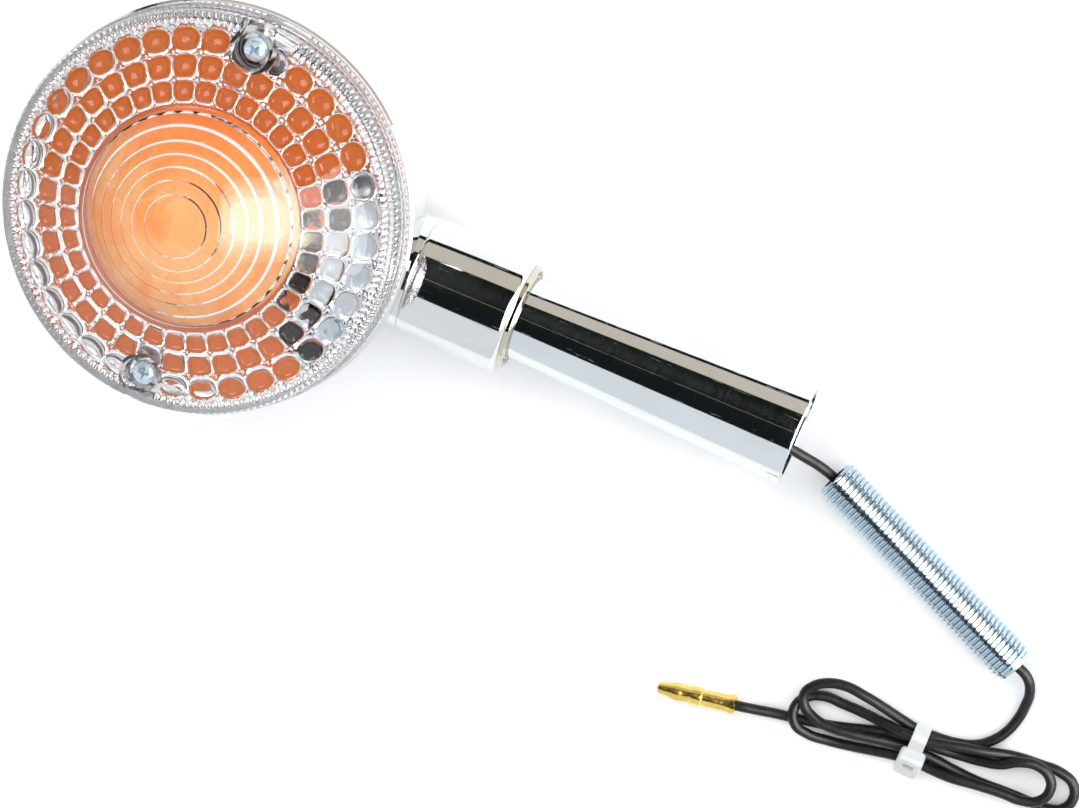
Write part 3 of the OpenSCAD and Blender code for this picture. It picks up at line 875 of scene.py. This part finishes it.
def cross_recess(size, depth, place):
    """Tapered cross that cuts a screw's recess."""
    width = size * 0.26
    outline = []
    for quarter in range(4):
        a = quarter * pi / 2
        for x, y in ((size, -width / 2), (size, width / 2), (width * 0.75, width * 0.75)):
            outline.append((x * cos(a) - y * sin(a), x * sin(a) + y * cos(a)))
    n = len(outline)
    verts = [(x * 0.5, y * 0.6, -depth) for x, y in outline] + [(x * 1.1, y * 1.1, 1) for x, y in outline]
    faces = [tuple(range(n - 1, -1, -1)), tuple(range(n, 2 * n))]
    faces += [(i, (i + 1) % n, n + (i + 1) % n, n + i) for i in range(n)]
    return solid("tool", verts, faces, place)


def pan_screw(name, x, y, seat, head_r, head_h, shank_r, length, pitch, turn=20):
    """Pan head screw with a cross recess and a threaded shank."""
    place = Matrix.Translation((x, y, seat)) @ Matrix.Rotation(radians(turn), 4, "Z")
    rows = [(0.0, 0), (head_r - 0.15, 0), (head_r, 0.15), (head_r, head_h * 0.45)]
    rows += [(head_r * cos(a), head_h * (0.45 + 0.55 * sin(a))) for a in np.radians(np.arange(12, 90, 13))]
    rows.append((0.0, head_h))
    head = grid_solid(name, [(float(r), float(h)) for r, h in rows], 96, place)
    recess_place = place @ Matrix.Translation((0, 0, head_h))
    combine(head, cross_recess(head_r * 0.62, head_h * 0.62, recess_place), "DIFFERENCE")
    thread = threaded_rod(
        "tool", shank_r, shank_r * 0.8, pitch, length, 0,
        place @ Matrix.Translation((0, 0, -length + 0.05)), 1.2, 32,
    )
    combine(head, thread, "UNION")
    smooth(head, 35)
    return head


def make_screws():
    """The two lens screws, and the two that hold the bracket."""
    length = POCKET_Z - screw_low.z
    for side, name, body, node in (
        (1, "screw_upper_zinc", "screw_upper", "lens_screw_upper"),
        (-1, "screw_lower_zinc", "screw_lower", "lens_screw_lower"),
    ):
        screw = pan_screw(name, 0, side * SCREW_Y, POCKET_Z, 2.7, 2, 1.5, length, 1, 25 * side + 30)
        finish_piece(screw, body, ZINC_SATIN, "zinc", node)
    pair = [
        pan_screw(f"bracket_screw_{name}", BRACKET_X, y, 30.6, 2.4, 1.6, 1.25, 7.9, 0.8, 40 + y)
        for name, y in (("upper", BRACKET_Y), ("lower", -BRACKET_Y))
    ]
    finish_piece(pair[0], "lamp", ZINC_SATIN, "zinc", "bracket_screws")
    finish_piece(pair[1], "lamp", ZINC_SATIN, "zinc")


STUD_PLACE = (
    Matrix.Translation((149.6, -9.6, 5)) @ Matrix.Rotation(radians(-24.5), 4, "Z") @ ALONG_X
)


def make_stud():
    """Loose hollow stud, threaded from end to end."""
    stud = threaded_rod("stud_threaded", 5, 4.22, STUD_PITCH, 59, 3, STUD_PLACE, 0.9, 72, 2)
    return finish_piece(stud, "stud", ZINC_BLUE, "zinc_stud", "mounting_stud")


def make_terminal():
    """Pressed bullet terminal: crimped barrel with flared wings, collar, seam and round tip."""
    steps = 72
    angles = np.arange(steps) * 2 * pi / steps
    wave = 0.16 * np.sin(2 * angles + 0.6) + 0.1 * np.sin(5 * angles)
    seam = 0.3 * np.exp(-(((angles - pi / 2) * 5) ** 2))
    rows = [(1.28, 0.25), (1.9 + wave, 0.1 + 0.5 * wave), (2.25 + wave, 0.25 + 0.6 * wave)]
    rows += [(2.2 + wave - seam, 1.1), (1.98 + 0.5 * wave - seam, 2.0), (1.9 - seam, 2.8)]
    rows += [(1.95 - 0.8 * seam, 4), (1.97 - seam, 6.4), (1.78 - 0.5 * seam, 7.2), (1.8, 7.8)]
    rows += [(2.15, 8.1), (2.22, 8.6), (2.22, 10), (2.15, 10.5), (1.9 - 0.4 * seam, 10.9)]
    rows += [(1.93 - 0.5 * seam, 12.6), (2.1 - 0.5 * seam, 13.3), (2.1 - 0.4 * seam, 14.2), (1.75, 15.6)]
    rows += [(1.55, 16.8), (1.5, 17.6), (1.2, 18.3), (0.6, 18.58), (0.0, 18.6)]
    rows += [(0.0, 6), (1.2, 6), (1.22, 1.2)]
    place = (
        Matrix.Translation((148.4, -69.8, 2.5)) @ Matrix.Rotation(radians(190.5), 4, "Z") @ ALONG_X
        @ Matrix.Rotation(radians(60), 4, "Z")
    )
    terminal = grid_solid("terminal_brass", rows, steps, place)
    smooth(terminal, 40)
    return finish_piece(terminal, "lamp", BRASS, "brass_terminal", "bullet_terminal")


def make_tie():
    """Strap pulled tight round the strands, and its ratchet head with a window."""
    x, thickness, width = 190, 0.9, 3.6
    strands = [(-58, 2.1), (-59.2, 4.2), (-65.3, 2.1)]
    reach = WIRE_D / 2 + thickness / 2
    turns = []
    for a, b in zip(strands, strands[1:]):
        turns.append(degrees(atan2(a[0] - b[0], b[1] - a[1])))
    bounds = [-90, turns[0], turns[1], 270]
    path = []
    for (y, z), start, end in zip(strands, bounds, bounds[1:]):
        path += [(x, y + (p - y), q) for p, q in arc(y, z, reach, start, end, 12)]
    half_w, half_t, soft = width / 2, thickness / 2, 0.2
    outline = [
        (-half_t, -half_w + soft), (-half_t + soft, -half_w),
        (half_t - soft, -half_w), (half_t, -half_w + soft),
        (half_t, half_w - soft), (half_t - soft, half_w),
        (-half_t + soft, half_w), (-half_t, half_w - soft),
    ]
    count, n = len(path), len(outline)
    verts = []
    for i in range(count):
        before, after = Vector(path[i - 1]), Vector(path[(i + 1) % count])
        along = (after - before).normalized()
        out = along.cross(Vector((1, 0, 0))).normalized()
        verts += [tuple(Vector(path[i]) + out * a + Vector((b, 0, 0))) for a, b in outline]
    faces = [
        (i * n + k, i * n + (k + 1) % n, (i + 1) % count * n + (k + 1) % n, (i + 1) % count * n + k)
        for i in range(count)
        for k in range(n)
    ]
    tie = solid("tie_nylon", verts, faces)
    place = Matrix.Translation((x, -65.3, 4.5)) @ Matrix.Rotation(radians(35), 4, "X")
    head = block((-3.0, -3.4, -2), (3.0, 3.4, 2), place)
    round_edges(head, 1.0, 5)
    combine(head, block((-1.3, 0.2, 1.0), (1.3, 1.6, 3), place), "DIFFERENCE")
    combine(tie, head, "UNION")
    smooth(tie, 40)
    return finish_piece(tie, "lamp", NYLON, "nylon", "cable_tie")


# ---------------------------------------------------------------- bulb and socket


def make_bulb():
    """Glass envelope: a ball that runs into a narrower neck."""
    ball_x, r, neck_r, neck_x, wall = -6, 12.5, 6.9, 14, 0.7
    outer = [(r * sin(a), ball_x - r * cos(a)) for a in np.radians(np.linspace(0, 122, 26))]
    inner = [((r - wall) * sin(a), ball_x - (r - wall) * cos(a)) for a in np.radians(np.linspace(122, 0, 26))]
    neck_out = smooth_line([outer[-1], (8.1, 6), (neck_r, 10), (neck_r, neck_x)], 5)
    neck_in = [(max(a - wall, 1), b) for a, b in reversed(neck_out)]
    rows = [(float(a) if a > 1e-6 else 0.0, float(b)) for a, b in outer + neck_out[1:] + neck_in[:-1] + inner]
    bulb = grid_solid("bulb_envelope", rows, 96, BULB_AXIS)
    smooth(bulb, 60)
    finish_piece(bulb, "bulb", GLASS, "bulb_clear", "bulb_glass")


def make_filament():
    """Coiled filament between two bent posts on a pinched glass stem."""
    turns, coil_r, span = 14, 0.42, 7.0
    route = []
    for i in range(turns * 10 + 1):
        a = 2 * pi * i / 10
        y = -span / 2 + span * i / (turns * 10)
        sag = 0.5 * (1 - (2 * y / span) ** 2)
        route.append((-5.9 - sag * 0.4 + coil_r * cos(a) * 0.5, y, BULB_Z + coil_r * sin(a)))
    pieces = [wire("filament_coil", route, 0.16)]
    for side, name in ((-1, "lower"), (1, "upper")):
        post = [
            (13.5, side * 1.6, BULB_Z), (8, side * 1.6, BULB_Z), (5, side * 2, BULB_Z),
            (1, side * 3, BULB_Z), (-4, side * 3.5, BULB_Z), (-6.1, side * 3.5, BULB_Z),
        ]
        pieces.append(wire(f"filament_post_{name}", post, 0.6))
    finish_piece(pieces[0], "bulb", WIRE_METAL, "filament_metal", "bulb_filament")
    for piece in pieces[1:]:
        finish_piece(piece, "bulb", WIRE_METAL, "filament_metal")
    rows = [(0.0, 5.8)] + arc(2.6, 7, 1.1, -90, 90, 9) + [(0.0, 8.2)]
    bead = grid_solid("filament_bead", rows, 48, BULB_AXIS)
    smooth(bead, 60)
    finish_piece(bead, "bulb", GLASS, "bulb_clear")


def make_spring():
    """Open coil spring behind the insulating disc."""
    turns, r, d, per_turn, n = 3, 6.0, 0.7, 48, 12
    start, end = spring_low.x + d / 2, spring_high.x - d / 2
    count = turns * per_turn
    verts = []
    for i in range(count + 1):
        a, x = 2 * pi * i / per_turn, start + (end - start) * i / count
        for k in range(n):
            b = 2 * pi * k / n
            out = r + d / 2 * cos(b)
            verts.append((x + d / 2 * sin(b), out * cos(a), BULB_Z + out * sin(a)))
    faces = [
        (i * n + k, i * n + (k + 1) % n, (i + 1) * n + (k + 1) % n, (i + 1) * n + k)
        for i in range(count)
        for k in range(n)
    ]
    faces += [tuple(range(n)), tuple(range(count * n + n - 1, count * n - 1, -1))]
    spring = solid("spring_coil", verts, faces)
    smooth(spring, 50)
    finish_piece(spring, "lamp", SPRING_STEEL, "spring_steel", "contact_spring")
    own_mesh(spring)


make_lens()
make_amber()
make_reflector()
make_housing()
make_stem()
make_stem_thread()
make_screws()
stud = make_stud()
terminal = make_terminal()
tie = make_tie()
make_bulb()
make_filament()
make_spring()

for node, material in (
    ("lens_seal", RUBBER_GREY),
    ("socket_shell", SOCKET_METAL),
    ("socket_bracket", ZINC),
    ("contact_plunger", FIBRE),
    ("contact_rivet", BRASS_CONTACT),
    ("bulb_base", BRASS_BASE),
    ("bulb_contact", SOLDER),
    ("stem_washer", ZINC),
    ("stem_nut", ZINC),
    ("lead_grommet", RUBBER_BLACK),
):
    finish_node(node, material)

# ---------------------------------------------------------------- floor and light

REACH = 3.0
WALL_AWAY = 2.2


def glowing(name, colour, strength):
    """Plain light-giving material for a studio card."""
    material = bpy.data.materials.new(name)
    material.use_nodes = True
    tree = material.node_tree
    tree.nodes.clear()
    light = tree.nodes.new("ShaderNodeEmission")
    light.inputs["Color"].default_value = (*colour, 1)
    light.inputs["Strength"].default_value = strength
    output = tree.nodes.new("ShaderNodeOutputMaterial")
    tree.links.new(light.outputs["Emission"], output.inputs["Surface"])
    return material


def card(name, corners, material):
    """Studio card, seen only in reflections."""
    mesh = bpy.data.meshes.new(name)
    mesh.from_pydata(corners, [], [tuple(range(len(corners)))])
    mesh.materials.append(material)
    obj = new_object(name, mesh)
    obj.visible_camera = False
    obj.visible_diffuse = False
    obj.visible_transmission = False
    obj.visible_shadow = False


def area_light(name, place, target, size, power):
    """Soft rectangular lamp that faces the target."""
    data = bpy.data.lights.new(name, "AREA")
    data.shape = "RECTANGLE"
    data.size, data.size_y = size
    data.energy = power
    obj = new_object(name, data)
    obj.location = place
    obj.rotation_euler = (Vector(target) - Vector(place)).to_track_quat("-Z", "Y").to_euler()


def level_card(name, y_low, y_high, z, material):
    """Level studio card between two places across, as long as the floor."""
    corners = [(-REACH, y_low, z), (REACH, y_low, z), (REACH, y_high, z), (-REACH, y_high, z)]
    card(name, corners, material)


def make_floor():
    floor_mesh = bpy.data.meshes.new("floor")
    corners = [(-REACH, -REACH, 0), (REACH, -REACH, 0), (REACH, REACH, 0), (-REACH, REACH, 0)]
    floor_mesh.from_pydata(corners, [], [(0, 1, 2, 3)])
    pale = Surface("floor_white", (0.92, 0.92, 0.92), 0.8).bump(3, 0.01)
    floor_mesh.materials.append(pale.material)
    new_object("floor", floor_mesh)


def make_world():
    world = bpy.data.worlds.new("world")
    world.use_nodes = True
    background = world.node_tree.nodes["Background"]
    background.inputs["Color"].default_value = (0.95, 0.975, 1, 1)
    background.inputs["Strength"].default_value = 1
    scene.world = world


def make_glare_cards():
    """Bright window of soft-cornered cards, one before the other, for the glare on the lens."""
    towards = Vector((0.7, 0.17, 0.69)).normalized()
    across = towards.cross(Vector((0, 0, 1))).normalized()
    up = across.cross(towards)
    cut = 0.6
    outline = [(-1, -cut), (-cut, -1), (cut, -1), (1, -cut), (1, cut), (cut, 1), (-cut, 1), (-1, cut)]
    for name, away, wide, tall, strength in (
        ("faint", 1.12, 0.66, 0.8, 2.5),
        ("soft", 1.09, 0.54, 0.68, 4.5),
        ("middle", 1.06, 0.42, 0.55, 7.5),
        ("bright", 1.03, 0.3, 0.42, 12),
    ):
        corners = [towards * away + across * wide * a + up * tall * b for a, b in outline]
        name = "card_glare_" + name
        card(name, [tuple(c) for c in corners], glowing(name, (1, 1, 1), strength))


def make_studio():
    """Pale floor and sky, cards that only reflections show, and two soft lamps."""
    make_floor()
    make_world()
    dark = glowing("card_dark", linear(25, 31, 32), 1)
    level_card("card_overhead", -0.58, 1.48, 1.2, dark)
    beige = glowing("card_beige", linear(226, 215, 201), 1)
    yellow = glowing("card_yellow", linear(206, 200, 120), 1)
    for name, low, high, material in (
        ("skirting", 0, 0.3, dark), ("wall", 0.3, 1.62, beige),
        ("edge", 1.62, 1.67, yellow), ("gap", 1.67, 1.8, dark),
    ):
        corners = [(-REACH, WALL_AWAY, low), (REACH, WALL_AWAY, low)]
        corners += [(REACH, WALL_AWAY, high), (-REACH, WALL_AWAY, high)]
        card("card_" + name, corners, material)
    horizon = glowing("card_horizon", linear(178, 178, 176), 1)
    for name, low, high, material in (("foot", 0, 0.12, dark), ("soft", 0.12, 0.4, horizon)):
        corners = [(-WALL_AWAY, -REACH, low), (-WALL_AWAY, REACH, low)]
        corners += [(-WALL_AWAY, REACH, high), (-WALL_AWAY, -REACH, high)]
        card("card_left_" + name, corners, material)
    level_card("card_line", 0.24, 0.25, 1.19, yellow)
    make_glare_cards()
    area_light("key", (-0.7, 0.9, 1.6), (0.1, 0, 0.02), (1.2, 1.2), 18)
    area_light("side", (0.98, 0.47, 0.35), (0, 0, 0.05), (0.7, 0.5), 6)


make_studio()
